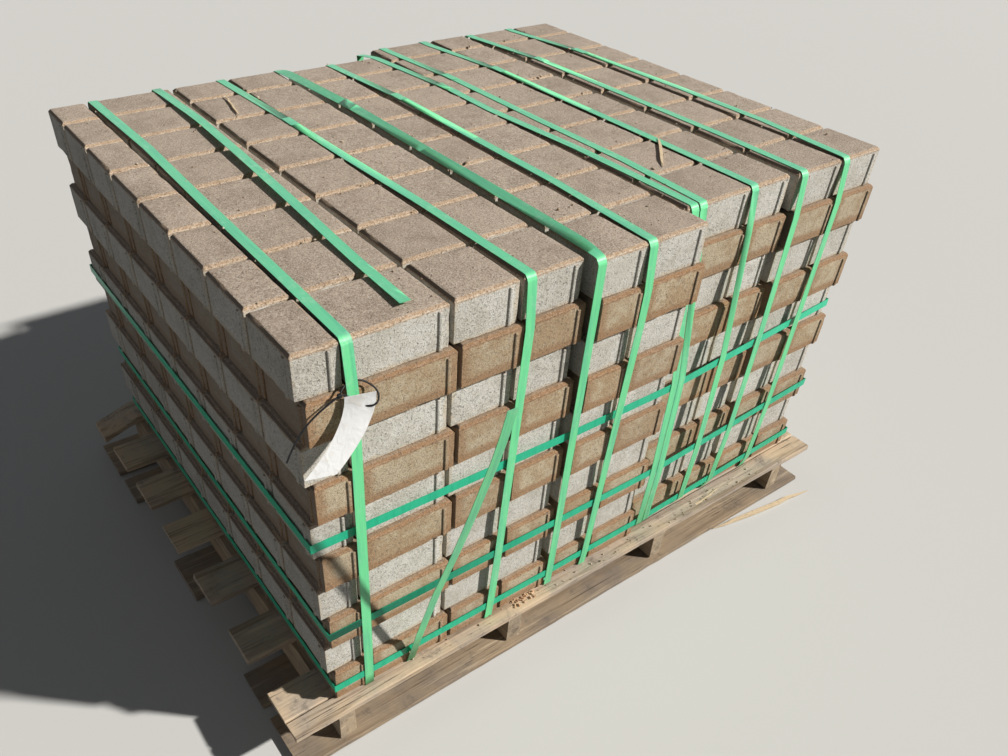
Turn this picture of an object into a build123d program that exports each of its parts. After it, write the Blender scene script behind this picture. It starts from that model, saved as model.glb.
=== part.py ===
from build123d import *
from functools import cache
import math
import os

# A strapped cube of concrete pavers on a wooden pallet. Millimetres, +Z up, the origin on
# the ground under the middle of the pallet, +X along the pallet's long near side and +Y
# away from it. Ten layers repeat one plan. Every second layer sits a little to the right
# and to the near side, so its faces stand proud there.

# Pavers
paver_height = 80.0
paver_depth = 134.5
last_row_depth = 100.0
row_count = 8
joint = 7.5
top_chamfer = 9.0

small, narrow, medium, wide, large = 77.0, 108.0, 125.0, 140.0, 178.0

# A block is a run of columns whose near faces line up: the gap before it, how far its near
# face stands back from that of the first block in the top layer and in the bottom one, and
# its columns from left to right.
blocks = [
    (0.0, 0.0, 0.0, [small, large, medium, medium]),
    (20.0, -20.0, 2.0, [narrow, wide]),
    (joint, 38.0, 24.0, [large, narrow]),
    (18.0, 31.0, 24.0, [wide, medium]),
]

# Spacer ribs down the outer faces, one near the right end of each face seen from outside
rib_width = 7.0
rib_height = 3.0
rib_from_end = 14.0
rib_below_chamfer = 1.0

# Layers
layer_count = 10
layer_shift = (10.5, -10.0)

# Pallet
pallet_length = 1560.0
pallet_depth = 1187.0
bottom_board_thickness = 16.0
stringer_height = 95.0
stringer_width = 38.0
stringer_inset = 12.0
deck_board_thickness = 18.0
stack_left_inset = 98.0
stack_near_inset = 42.0

# Deck boards between the two lead boards: near edge from the pallet's near edge, and width
lead_board_width = 123.0
lead_crack_from_edge = 48.0
lead_crack_slant = 12.0
crack_width = 1.5
inner_deck_boards = [(211.0, 98.0), (393.0, 102.0), (580.0, 96.0), (751.0, 104.0), (918.0, 101.0)]
far_board_width = 83.0
far_board_droop = 33.0

# Stringer centres and bottom board near edges, from the pallet's left and near edges
stringer_centres = [118.0, 546.0, 1001.0, 1455.0]
bottom_boards = [(0.0, 140.0), (172.0, 98.0), (524.0, 140.0), (917.0, 98.0), (1047.0, 140.0)]

# Strapping
strap_width = 19.0
strap_thickness = 1.0
strap_clearance = 0.3
strap_bend_radius = 10.0
strap_bend_steps = 3
weld_length = 45.0

# How far the spaces that straps are cut to run past the straps
overshoot = 10.0

# Level straps: the layer that each lies on, counted from the bottom, and its height there
level_straps = {"level_strap_low": (1, 40.0), "level_strap_middle": (3, 40.0), "level_strap_high": (6, 30.0)}

# Upright straps, left to right. Each is a list of places on top, as distances from the
# stack's left and near faces, then its distance from the left at the foot of both sides and
# how far back its weld lies on top, where one shows.
upright_straps = {
    "strap_1": ([(86, 0), (89, 190), (93, 486), (100, 782), (93, 1094)], 82, None),
    "strap_3": ([(416, 0), (413, 296), (404, 543), (399, 761), (383, 1094)], 378, 770),
    "strap_4": ([(546, 0), (549, 249), (547, 497), (548, 765), (528, 1094)], 545, 790),
    "strap_5": ([(664, 0), (677, 252), (678, 501), (680, 769), (656, 1094)], 650, 790),
    "strap_6": ([(829, 0), (829, 157), (826, 355), (808, 623), (811, 773), (782, 1094)], 826, 800),
    "strap_7": ([(851, 20), (864, 257), (862, 505), (863, 825), (844, 1094)], 849, 850),
    "strap_8": ([(996, 30), (1000, 260), (1001, 509), (1002, 829), (968, 1094)], 974, 840),
    "strap_9": ([(1138, 30), (1146, 263), (1146, 513), (1147, 853), (1116, 1094)], 1085, 850),
    "strap_10": ([(1276, 30), (1297, 266), (1299, 517), (1291, 847), (1251, 1094)], 1235, 860),
}

# The cut strap: its slack top run stands a little off the pavers, and its near end has
# sprung out. Heights are above the stack's top or foot, distances from its near face.
cut_top_line = [(200, 25), (208, 242), (218, 439), (227, 637), (236, 845), (236, 1094)]
cut_top_rise = [(25, 0.0), (120, 4.0), (330, 8.0), (640, 10.0), (900, 7.0), (1060, 2.0)]
tail_side = [(40, 112), (84, 275), (121, 400), (157, 530), (190, 655), (205, 715), (215, 763)]
tail_drift = [(180, 0), (191, 275), (202, 460), (211, 655), (212, 790)]

# Paper tag. It hangs from its hole and curls forward as it falls to the left. Its top
# middle lies right of the stack's left face, in front of the near one and below the top.
# The fall and the curl are given down from there.
tag_place = (91.0, 25.0, 83.0)
tag_turn = -15.0
tag_width = 47.0
tag_thickness = 0.6
tag_hole_radius = 4.2
tag_hole = (2.4, -19.4)
tag_fall = [(0, 0), (-7, -22), (-23, -46), (-46, -70), (-73, -91)]
tag_curl = [(0, 0), (2, -24), (10, -52), (28, -76), (53, -92)]

# Cable tie: its head, its loop through the tag and behind the strap, and its loose tail, as
# distances from the stack's left and near faces and down from its top
tie_thickness = 2.4
tie_head = (7.0, 5.0, 6.0)
tie_loop = [(60, 21, 75), (74, 8.6, 70), (90, 8.1, 68), (106, 12, 72), (122, 25, 88), (112, 38, 102),
            (94, 29, 103), (88, 19.5, 99), (76, 17.8, 86), (67, 16.4, 78), (60, 21, 77)]
tie_tail = [(60, 21, 76), (25, 20, 90), (-13, 19, 124), (-31, 22, 156)]

# Sizes that follow from the ones above
deck_top = bottom_board_thickness + stringer_height + deck_board_thickness
stack_foot = deck_top + strap_thickness
stack_top = stack_foot + layer_count * paver_height
stack_left = stack_left_inset - pallet_length / 2
stack_near = stack_near_inset - pallet_depth / 2
row_pitch = paver_depth + joint
rows = [(row * row_pitch, paver_depth) for row in range(row_count - 1)]
rows.append(((row_count - 1) * row_pitch, last_row_depth))
stack_depth = rows[-1][0] + last_row_depth
proud = rib_height + strap_clearance
rib_start = paver_height - top_chamfer - rib_below_chamfer


def columns_of(number):
    """Left edge, width and near offset of each column of a layer, from its near left corner."""
    columns, left = [], 0.0
    down = (layer_count - number) / (layer_count - 1)
    for gap, top_offset, foot_offset, widths in blocks:
        offset = top_offset + (foot_offset - top_offset) * down
        left += gap - (joint if columns else 0.0)
        for width in widths:
            columns.append((left, width, offset))
            left += width + joint
    return columns


def taut(points):
    """The convex outline that a tight strap takes round a set of points."""
    def chain(ordered):
        kept = []
        for x, y in ordered:
            while len(kept) > 1:
                (ax, ay), (bx, by) = kept[-2:]
                if (bx - ax) * (y - ay) - (by - ay) * (x - ax) > 1e-9:
                    break
                kept.pop()
            kept.append((x, y))
        return kept[:-1]

    ordered = sorted(set(points))
    return chain(ordered) + chain(ordered[::-1])


def between(places, at):
    """The value beside a place, on a line given as (value, place) pairs."""
    for (first, low), (second, high) in zip(places, places[1:]):
        if at <= high:
            return first + (second - first) * (at - low) / (high - low)
    return places[-1][0]


def strip(points, thickness):
    """The outline of a thin strip whose one side runs through the points."""
    other = []
    for index, (x, y) in enumerate(points):
        x0, y0 = points[max(index - 1, 0)]
        x1, y1 = points[min(index + 1, len(points) - 1)]
        length = math.hypot(x1 - x0, y1 - y0)
        other.append((x + (y1 - y0) / length * thickness, y - (x1 - x0) / length * thickness))
    return points + other[::-1]


def bend(edge_y, edge_z, out):
    """Where a strap folds over a top edge, as (y, z): out is -1 on the near side, 1 on the far one."""
    steps = [math.pi / 2 * step / strap_bend_steps for step in range(strap_bend_steps + 1)]
    radius = strap_bend_radius
    return [(edge_y - out * radius * (1 - math.sin(turn)), edge_z - radius * (1 - math.cos(turn)))
            for turn in steps]


def ribbon(line, width):
    """The outline of a ribbon that is centred on (across, along) places."""
    return [(x - width / 2, y) for x, y in line] + [(x + width / 2, y) for x, y in line[::-1]]


@cache
def make_paver(width, depth, rib_sides):
    """A paver on the XY plane, chamfered on top, with ribs on the sides that face outwards."""
    faces = {
        "near": (width, depth, 0), "right": (depth, width, 90),
        "far": (width, depth, 180), "left": (depth, width, 270),
    }
    with BuildPart() as block:
        with BuildSketch():
            Rectangle(width, depth)
        extrude(amount=paver_height)
        chamfer(block.faces().sort_by(Axis.Z)[-1].edges(), top_chamfer)
        for side in rib_sides:
            length, reach, turn = faces[side]
            along = length / 2 - rib_from_end - rib_width / 2
            with BuildSketch(Plane.XY.rotated((0, 0, turn))):
                with Locations((along, -reach / 2)):
                    Polygon((-rib_width / 2, 0), (0, -rib_height), (rib_width / 2, 0), align=None)
            extrude(amount=rib_start)
    return block.part


def make_layer(number):
    """A layer with its near left corner over the origin: the top one whole, others round a core."""
    places, columns, whole = {}, columns_of(number), number == layer_count
    last_column, last_row = len(columns) - 1, len(rows) - 1
    for column, (left, width, offset) in enumerate(columns):
        for row, (back, depth) in enumerate(rows):
            sides = []
            if row == 0:
                sides.append("near")
            if column == last_column:
                sides.append("right")
            if row == last_row:
                sides.append("far")
            if column == 0:
                sides.append("left")
            if sides or whole:
                key = (width, depth, tuple(sides))
                places.setdefault(key, []).append((left + width / 2, offset + back + depth / 2))
    with BuildPart() as layer:
        for (width, depth, sides), spots in places.items():
            with Locations(*spots):
                add(make_paver(width, depth, sides))
        if not whole:
            left, right = columns[1][0], columns[-2][0] + columns[-2][1]
            near = max(offset for _, _, offset in columns) + rows[1][0]
            far = min(offset for _, _, offset in columns) + rows[-2][0] + paver_depth
            with BuildSketch():
                with Locations((left, near)):
                    Rectangle(right - left, far - near, align=(Align.MIN, Align.MIN))
            extrude(amount=paver_height)
    return layer.part


def shift_of(number):
    """How far a layer sits to the right and to the back. Even ones from the top are shifted."""
    return layer_shift if (layer_count - number) % 2 else (0.0, 0.0)


def save(part, name):
    part.label = name
    export_step(part, f"parts/{name}.step")


def make_layers():
    for number in range(1, layer_count + 1):
        right, back = shift_of(number)
        foot = stack_foot + (number - 1) * paver_height
        with BuildPart() as layer:
            with Locations((stack_left + right, stack_near + back, foot)):
                add(make_layer(number))
        save(layer.part, f"layer_{number:02d}")


def make_board(name, outline, foot, thickness, crack=None):
    """A sawn board with its outline in the pallet's plan, cracked along a line where it has one."""
    with BuildPart() as board:
        with BuildSketch(Plane.XY.offset(foot)):
            with BuildLine():
                Polyline(*outline, close=True)
            make_face()
        extrude(amount=thickness)
        if crack:
            with BuildSketch(Plane.XY.offset(foot)):
                with BuildLine():
                    Polyline(*crack, close=True)
                make_face()
            extrude(amount=thickness, mode=Mode.SUBTRACT)
    save(board.part, name)


def board_outline(near, width, skew=0.0):
    """A board right across the pallet: near edge from the pallet's, at its left end."""
    left, front = -pallet_length / 2, near - pallet_depth / 2
    right = left + pallet_length
    return [(left, front), (right, front + skew), (right, front + skew + width), (left, front + width)]


def make_pallet():
    deck_foot = bottom_board_thickness + stringer_height
    crack = board_outline(lead_crack_from_edge - lead_crack_slant / 2, crack_width, lead_crack_slant)
    make_board("deck_board_1", board_outline(0, lead_board_width), deck_foot, deck_board_thickness, crack)
    for number, (near, width) in enumerate(inner_deck_boards, start=2):
        make_board(f"deck_board_{number}", board_outline(near, width), deck_foot, deck_board_thickness)

    left, right = -pallet_length / 2, pallet_length / 2
    droop_start = left + stringer_centres[0] - stringer_width / 2
    side = [(right, deck_foot), (droop_start, deck_foot), (left, deck_foot - far_board_droop)]
    side += [(x, z + deck_board_thickness) for x, z in side[::-1]]
    with BuildPart() as board:
        with BuildSketch(Plane.XZ.offset(-pallet_depth / 2)):
            with BuildLine():
                Polyline(*side, close=True)
            make_face()
        extrude(amount=far_board_width)
    save(board.part, f"deck_board_{len(inner_deck_boards) + 2}")

    for number, centre in enumerate(stringer_centres, start=1):
        x, end = centre - pallet_length / 2, pallet_depth / 2 - stringer_inset
        outline = ribbon([(x, -end), (x, end)], stringer_width)
        make_board(f"stringer_{number}", outline, bottom_board_thickness, stringer_height)

    for number, (near, width) in enumerate(bottom_boards, start=1):
        make_board(f"bottom_board_{number}", board_outline(near, width), 0, bottom_board_thickness)


def level_outline(number):
    """The outline that a level strap takes round one layer, just clear of its ribs."""
    right, back = shift_of(number)
    corners = []
    for left, width, offset in columns_of(number):
        for x in (left - proud, left + width + proud):
            for y in (offset - proud, offset + stack_depth + proud):
                corners.append((stack_left + right + x, stack_near + back + y))
    return taut(corners)


def level_reach(number, low_x, high_x, near):
    """How far out an upright strap has to be to clear a level one."""
    middle = stack_near + stack_depth / 2
    run = sorted((x, y) for x, y in level_outline(number) if (y < middle) == near)
    places = [low_x, high_x] + [x for x, y in run if low_x < x < high_x]
    reached = [between([(y, x) for x, y in run], place) for place in places]
    grow = strap_thickness + strap_clearance
    return min(reached) - grow if near else max(reached) + grow


def make_level_straps():
    for name, (number, height) in level_straps.items():
        foot = stack_foot + (number - 1) * paver_height + height - strap_width / 2
        with BuildPart() as strap:
            for grow, mode in ((strap_thickness, Mode.ADD), (0.0, Mode.SUBTRACT)):
                with BuildSketch(Plane.XY.offset(foot)):
                    with BuildLine():
                        Polyline(*level_outline(number), close=True)
                    make_face()
                    if grow:
                        offset(amount=grow, kind=Kind.INTERSECTION)
                extrude(amount=strap_width, mode=mode)
        save(strap.part, name)


def supports(low_x, high_x, near):
    """What an upright strap leans on along the near or the far side, as (y, z)."""
    points, out = [], -1 if near else 1
    for number in range(1, layer_count + 1):
        right, back = shift_of(number)
        foot = stack_foot + (number - 1) * paver_height
        for left, width, offset in columns_of(number):
            x = stack_left + left + right
            if x < high_x and x + width > low_x:
                face = stack_near + offset + back + (0.0 if near else stack_depth)
                points += [(face + out * proud, foot), (face + out * proud, foot + rib_start)]
    for number, height in level_straps.values():
        reach = level_reach(number, low_x, high_x, near)
        centre = stack_foot + (number - 1) * paver_height + height
        points += [(reach, centre - strap_width / 2), (reach, centre + strap_width / 2)]
    return points


def top_ends(low_x, high_x):
    """Near and far edge of the top layer under a strap."""
    under = [offset for left, width, offset in columns_of(layer_count)
             if stack_left + left < high_x and stack_left + left + width > low_x]
    return stack_near + min(under), stack_near + max(under) + stack_depth


def make_way(top_line, foot_x):
    """The space that an upright strap runs in: over the top, down both sides and under."""
    reach = stack_depth / 2
    middle = stack_near + stack_depth / 2
    split = stack_top - strap_bend_radius - strap_thickness
    foot = stack_foot - 2 * strap_thickness
    near_x, far_x = top_line[0][0], top_line[-1][0]
    over = [(near_x, stack_near - reach)] + top_line + [(far_x, stack_near + stack_depth + reach)]
    with BuildPart() as way:
        with BuildSketch(Plane.XY.offset(split)):
            with BuildLine():
                Polyline(*ribbon(over, strap_width), close=True)
            make_face()
        extrude(amount=2 * strap_bend_radius)
        with BuildSketch(Plane.XZ.offset(-middle)):
            with BuildLine():
                Polyline(*ribbon([(foot_x, foot), (near_x, split)], strap_width), close=True)
            make_face()
        extrude(amount=stack_depth)
        with BuildSketch(Plane.XZ.offset(-middle)):
            with BuildLine():
                Polyline(*ribbon([(foot_x, foot), (far_x, split)], strap_width), close=True)
            make_face()
        extrude(amount=-stack_depth)
    return way.part


def make_upright_straps():
    for name, (top_line, foot_x, weld) in upright_straps.items():
        line = [(stack_left + x, stack_near + y) for x, y in top_line]
        foot_x += stack_left
        half = strap_width / 2 + strap_clearance
        near_range = min(line[0][0], foot_x) - half, max(line[0][0], foot_x) + half
        far_range = min(line[-1][0], foot_x) - half, max(line[-1][0], foot_x) + half
        near_top = top_ends(line[0][0] - half, line[0][0] + half)[0]
        far_top = top_ends(line[-1][0] - half, line[-1][0] + half)[1]
        lid = stack_top + strap_clearance
        points = supports(*near_range, True) + supports(*far_range, False)
        points += bend(near_top - strap_clearance, lid, -1) + bend(far_top + strap_clearance, lid, 1)
        side = taut(points)
        way = make_way(line, foot_x)
        box = way.bounding_box()
        with BuildPart() as strap:
            for grow, mode in ((strap_thickness, Mode.ADD), (0.0, Mode.SUBTRACT)):
                with BuildSketch(Plane.YZ.offset(box.min.X - overshoot)):
                    with BuildLine():
                        Polyline(*side, close=True)
                    make_face()
                    if grow:
                        offset(amount=grow, kind=Kind.INTERSECTION)
                extrude(amount=box.size.X + 2 * overshoot, mode=mode)
            add(way, mode=Mode.INTERSECT)
            if weld:
                x = between(line, stack_near + weld)
                with BuildSketch(Plane.XY.offset(lid + strap_thickness)):
                    with Locations((x, stack_near + weld)):
                        Rectangle(strap_width, weld_length)
                extrude(amount=strap_thickness)
        save(strap.part, name)


def make_cut_strap():
    """The strap that was cut at the near top edge: one strip from its top end round to its tail."""
    half = strap_width / 2 + strap_clearance
    line = [(stack_left + x, stack_near + y) for x, y in cut_top_line]
    foot_x = stack_left + tail_drift[0][0]
    lid = stack_top + strap_clearance
    far = max(y for y, z in supports(line[-1][0] - half, line[-1][0] + half, False))
    face = min(y for y, z in supports(foot_x - half, foot_x + half, True) if z <= stack_foot)
    side = [(stack_near + y, lid + rise) for y, rise in cut_top_rise]
    side += [(far - strap_bend_radius, lid), (far, lid - strap_bend_radius)]
    side += [(far, stack_foot), (face, stack_foot)]
    side += [(stack_near - y, stack_foot + z) for y, z in tail_side]
    over = [(line[0][0], line[0][1] - overshoot)] + line + [(line[-1][0], far + overshoot)]
    low, high = (foot_x, stack_foot - overshoot), (line[-1][0], stack_top - strap_bend_radius)
    drift = [low] + [(stack_left + x, stack_foot + z) for x, z in tail_drift[1:]]
    with BuildPart() as way:
        with BuildSketch(Plane.XY.offset(stack_top - strap_bend_radius)):
            with BuildLine():
                Polyline(*ribbon(over, strap_width), close=True)
            make_face()
        extrude(amount=3 * strap_bend_radius)
        with BuildSketch(Plane.XZ.offset(-(stack_near + stack_depth / 2))):
            with BuildLine():
                Polyline(*ribbon([low, high], strap_width), close=True)
            make_face()
        extrude(amount=-stack_depth)
        with BuildSketch(Plane.XZ.offset(-(stack_near + stack_depth / 2))):
            with BuildLine():
                Polyline(*ribbon(drift, strap_width), close=True)
            make_face()
        extrude(amount=stack_depth)
    box = way.part.bounding_box()
    with BuildPart() as strap:
        with BuildSketch(Plane.YZ.offset(box.min.X - overshoot)):
            with BuildLine():
                Polyline(*strip(side, -strap_thickness), close=True)
            make_face()
        extrude(amount=box.size.X + 2 * overshoot)
        add(way.part, mode=Mode.INTERSECT)
    save(strap.part, "strap_2_cut")


def make_tag():
    """The paper tag: a curled strip, cut to the outline that it has from the front."""
    x, out, down = tag_place
    place = (stack_left + x, stack_near - out, stack_top - down)
    turn = math.radians(tag_turn)
    across, forward = (math.cos(turn), math.sin(turn), 0), (math.sin(turn), -math.cos(turn), 0)
    front = Plane(origin=place, x_dir=across, z_dir=forward)
    side = Plane(origin=place, x_dir=forward, z_dir=(-across[0], -across[1], 0))
    reach = 4 * tag_width
    with BuildPart() as tag:
        with BuildSketch(side.offset(-reach)):
            with BuildLine():
                Polyline(*strip(tag_curl, tag_thickness), close=True)
            make_face()
        extrude(amount=2 * reach)
        with BuildSketch(front.offset(-reach)):
            with BuildLine():
                Polyline(*ribbon(tag_fall, tag_width), close=True)
            make_face()
            with Locations(tag_hole):
                RegularPolygon(tag_hole_radius, 8, mode=Mode.SUBTRACT)
        extrude(amount=2 * reach, mode=Mode.INTERSECT)
    save(tag.part, "tag")


def make_tie():
    """The cable tie: a head with a loop and a loose tail swept from it."""
    place = (stack_left, stack_near, stack_top)
    with BuildPart() as tie:
        for line in (tie_loop, tie_tail):
            with BuildLine() as run:
                Polyline(*[(place[0] + x, place[1] - y, place[2] - z) for x, y, z in line])
            with BuildSketch(Plane(origin=run.line @ 0, z_dir=run.line % 0)):
                RegularPolygon(tie_thickness / 2, 4)
            sweep(path=run.line, transition=Transition.RIGHT)
        x, out, down = tie_tail[0]
        with Locations((place[0] + x, place[1] - out, place[2] - down)):
            Box(*tie_head)
    save(tie.part, "cable_tie")


os.makedirs("parts", exist_ok=True)
make_pallet()
make_layers()
make_level_straps()
make_upright_straps()
make_cut_strap()
make_tag()
make_tie()
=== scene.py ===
# %% [markdown]
# # A strapped pallet of concrete pavers
#
# The shapes come from a CAD model that is already at its real size. This script dresses it:
# it breaks the edges of the stones, ages the wood, folds the straps and the paper tag, gives
# everything a material that is worked out by nodes, and lights the whole. All lengths are
# in metres.

# %% Load the model
import math
import random

import bmesh
import bpy
from mathutils import Matrix, Vector, noise


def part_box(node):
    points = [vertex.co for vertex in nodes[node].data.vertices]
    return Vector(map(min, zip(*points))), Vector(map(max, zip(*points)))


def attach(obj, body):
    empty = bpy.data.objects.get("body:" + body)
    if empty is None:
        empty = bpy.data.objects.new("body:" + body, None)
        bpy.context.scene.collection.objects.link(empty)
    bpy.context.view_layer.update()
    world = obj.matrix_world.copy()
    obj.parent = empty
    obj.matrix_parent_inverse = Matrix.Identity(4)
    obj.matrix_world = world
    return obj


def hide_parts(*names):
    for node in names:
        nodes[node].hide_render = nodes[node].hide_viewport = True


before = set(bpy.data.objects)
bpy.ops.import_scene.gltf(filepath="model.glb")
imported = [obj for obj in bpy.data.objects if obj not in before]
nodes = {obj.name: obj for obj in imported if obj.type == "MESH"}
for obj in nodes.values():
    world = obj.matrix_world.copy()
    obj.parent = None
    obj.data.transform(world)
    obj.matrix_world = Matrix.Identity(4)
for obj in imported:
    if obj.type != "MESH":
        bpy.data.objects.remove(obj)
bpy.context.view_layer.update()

# %% [markdown]
# ## Camera
#
# The camera stands near the left corner of the load, at eye height, and looks down at it. It
# is placed by three things: where it is, where it looks and how far it is rolled. They could
# be set as angles, but a place and a direction are easier to check against the model. The two
# shifts move the picture without turning the camera, so the upright lines keep their lean.

# %% Camera
CAMERA_PLACE = Vector((-1.0515, -1.4149, 1.5572))
CAMERA_FORWARD = Vector((0.4553, 0.5909, -0.6660)).normalized()
CAMERA_ROLL = math.radians(2.73)
LENS, SENSOR = 29.7, 36.0
SHIFT = 0.043, 0.0908
NEAREST, FARTHEST = 0.05, 60
UP = Vector((0, 0, 1))


def add_object(name, data):
    """An object that shows some data, linked into the scene."""
    added = bpy.data.objects.new(name, data)
    bpy.context.collection.objects.link(added)
    return added


def make_camera():
    """A camera turned by its own three axes: right, up and back."""
    data = bpy.data.cameras.new("camera")
    data.lens, data.sensor_width = LENS, SENSOR
    data.shift_x, data.shift_y = SHIFT
    data.clip_start, data.clip_end = NEAREST, FARTHEST
    camera = add_object("camera", data)
    level = CAMERA_FORWARD.cross(UP).normalized()
    right = level * math.cos(CAMERA_ROLL) + level.cross(CAMERA_FORWARD) * math.sin(CAMERA_ROLL)
    turn = Matrix((right, right.cross(CAMERA_FORWARD), -CAMERA_FORWARD)).transposed()
    camera.matrix_world = Matrix.Translation(CAMERA_PLACE) @ turn.to_4x4()
    bpy.context.scene.camera = camera
    return camera


camera = make_camera()
print("camera at", tuple(round(c, 3) for c in camera.location))

# %% [markdown]
# ## Writing materials as sums
#
# A material is a graph of nodes. Linking every node by hand hides what the graph means, so
# every node comes from `add_node`, and `Value` wraps a node's output and lets shader maths be
# written as ordinary sums.

# %% Shader values
def add_node(tree, kind, settings, inputs):
    """A node with its settings, and for each named input its value or what is linked to it."""
    node = tree.nodes.new("ShaderNode" + kind)
    for name, setting in settings.items():
        setattr(node, name, setting)
    for name, item in inputs.items():
        item = getattr(item, "socket", item)
        if isinstance(item, bpy.types.NodeSocket):
            tree.links.new(item, node.inputs[name])
        else:
            node.inputs[name].default_value = item
    return node


class Value:
    """A shader output that adds, subtracts and multiplies with others and with numbers.

    Only a subtraction may start with the number.
    """

    def __init__(self, tree, socket):
        self.tree, self.socket = tree, socket

    def combined(self, operation, *items):
        node = add_node(self.tree, "Math", {"operation": operation}, dict(enumerate(items)))
        return Value(self.tree, node.outputs[0])

    def __add__(self, other):
        return self.combined("ADD", self, other)

    def __sub__(self, other):
        return self.combined("SUBTRACT", self, other)

    def __rsub__(self, other):
        return self.combined("SUBTRACT", other, self)

    def __mul__(self, other):
        return self.combined("MULTIPLY", self, other)

    def wave(self):
        return self.combined("SINE", self)

    def above(self, low, high):
        """0 below low, 1 above high and a smooth step between them."""
        node = add_node(self.tree, "MapRange", {"interpolation_type": "SMOOTHSTEP"},
                        {"Value": self, "From Min": low, "From Max": high})
        return Value(self.tree, node.outputs[0])

    def below(self, low, high):
        return 1.0 - self.above(low, high)


print("shader values ready")

# %% [markdown]
# ## Surfaces
#
# `Surface` holds a material while its colour, roughness and bumps are worked out. A finish is
# built as a painter would build it: a ground colour first, then one tint after another, each
# only where its mask says. Patterns are read at a place on the object, so they stay put when
# the view changes.

# %% Surfaces
MIX_GROUND, MIX_TINT, MIX_COLOUR = 6, 7, 2  # a Mix node's sockets for colours


class Surface:
    """A material under construction, with its shader and the coordinates that it reads."""

    def __init__(self, name, numbers):
        self.material = bpy.data.materials.new(name)
        self.material.use_nodes = True
        self.tree = self.material.node_tree
        self.shader = self.tree.nodes["Principled BSDF"]
        for label, number in numbers.items():
            self.shader.inputs[label].default_value = number
        self.place = self.node("TexCoord").outputs["Object"]

    def node(self, kind, settings=(), inputs=()):
        return add_node(self.tree, kind, dict(settings), dict(inputs))

    def attribute(self, name):
        return Value(self.tree, self.node("Attribute", {"attribute_name": name}).outputs["Fac"])

    def part(self, vector, axis):
        node = self.node("SeparateXYZ", inputs={0: vector})
        return Value(self.tree, node.outputs["XYZ".index(axis)])

    def along(self, axis):
        return self.part(self.place, axis)

    def facing(self, axis):
        return self.part(self.node("NewGeometry").outputs["Normal"], axis)

    def move_by(self, amount, way):
        """Moves the coordinates along a way by an amount that varies over the surface."""
        step = self.node("VectorMath", {"operation": "SCALE"}, {0: way, "Scale": amount})
        moved = self.node("VectorMath", {"operation": "ADD"},
                          {0: self.place, 1: step.outputs[0]})
        self.place = moved.outputs[0]

    def noise(self, scale, detail=2.0, roughness=0.5, stretch=(1, 1, 1), distortion=0.0):
        place = self.node("VectorMath", {"operation": "MULTIPLY"}, {0: self.place, 1: stretch})
        node = self.node("TexNoise", inputs={
            "Vector": place.outputs[0], "Scale": scale, "Detail": detail,
            "Roughness": roughness, "Distortion": distortion})
        return Value(self.tree, node.outputs[0])

    def tinted(self, ground, *tints):
        """A ground colour with tints over it, each given as (colour, how much of it)."""
        for tint, amount in tints:
            ground, tint = ((*c, 1) if isinstance(c, tuple) else c for c in (ground, tint))
            node = self.node("Mix", {"data_type": "RGBA"},
                             {"Factor": amount, MIX_GROUND: ground, MIX_TINT: tint})
            ground = node.outputs[MIX_COLOUR]
        return ground

    def finish(self, colour, roughness=None, bumps=()):
        """Connects the colour, the roughness and a chain of (height, depth) bumps."""
        self.tree.links.new(colour, self.shader.inputs["Base Color"])
        if roughness is not None:
            self.tree.links.new(roughness.socket, self.shader.inputs["Roughness"])
        below = {}
        for height, depth in bumps:
            bump = self.node("Bump", inputs={
                "Height": height, "Distance": depth, "Strength": 1.0, **below})
            below = {"Normal": bump.outputs[0]}
        for label, normal in below.items():
            self.tree.links.new(normal, self.shader.inputs[label])
        return self.material


print("surfaces ready")

# %% [markdown]
# ## Concrete
#
# A paver is pressed face up from two mixes: a thin coloured layer that people walk on, and
# a coarser body. On its side that shows as bands. The grey stones have a tan strip along the
# chamfer and a speckled body. The brown ones have a rusty chamfer and a rusty rim round a
# sandy middle. Where the chamfer ends, the press leaves a broken lip, whose pale line is
# partly its own colour and partly a painted highlight. The chamfers that look into the long
# joints are darkened with painted shade, and the left side, which the light never reaches, is
# darker with painted shade. A photograph could carry all this, but then each stone would look
# the same.
# Here every stone has three attributes: `tone`, a random number, `height`, the height above
# its own foot, and `corner`, the way along a side to its nearest corner. The tone moves the
# pattern to a place of its own, and the other two make the bands.

# %% Concrete
PAVER_HEIGHT, WORN_CHAMFER = 0.080, 0.0052
LIP_HEIGHT = PAVER_HEIGHT - WORN_CHAMFER
STONE_JUMP = (7.3, 3.1, 5.7)  # how far the pattern of one stone may lie from the next one's
PALE_STONE, DARK_STONE = (0.660, 0.625, 0.560), (0.105, 0.085, 0.068)
PALE_GRAIN, DARK_GRAIN = (0.830, 0.785, 0.710), (0.045, 0.038, 0.032)
# Painted shade: the second colour darkens the chamfers in the long joints.
STAIN, PAINTED_JOINT_SHADE = (0.120, 0.086, 0.056), (0.060, 0.046, 0.036)
# Painted shade: the first colour darkens the left side, which the light never reaches;
# DARK_BATCH darkens whole stones at random.
PAINTED_LEFT_SHADE, DARK_BATCH = (0.130, 0.118, 0.104), (0.200, 0.165, 0.130)


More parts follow.
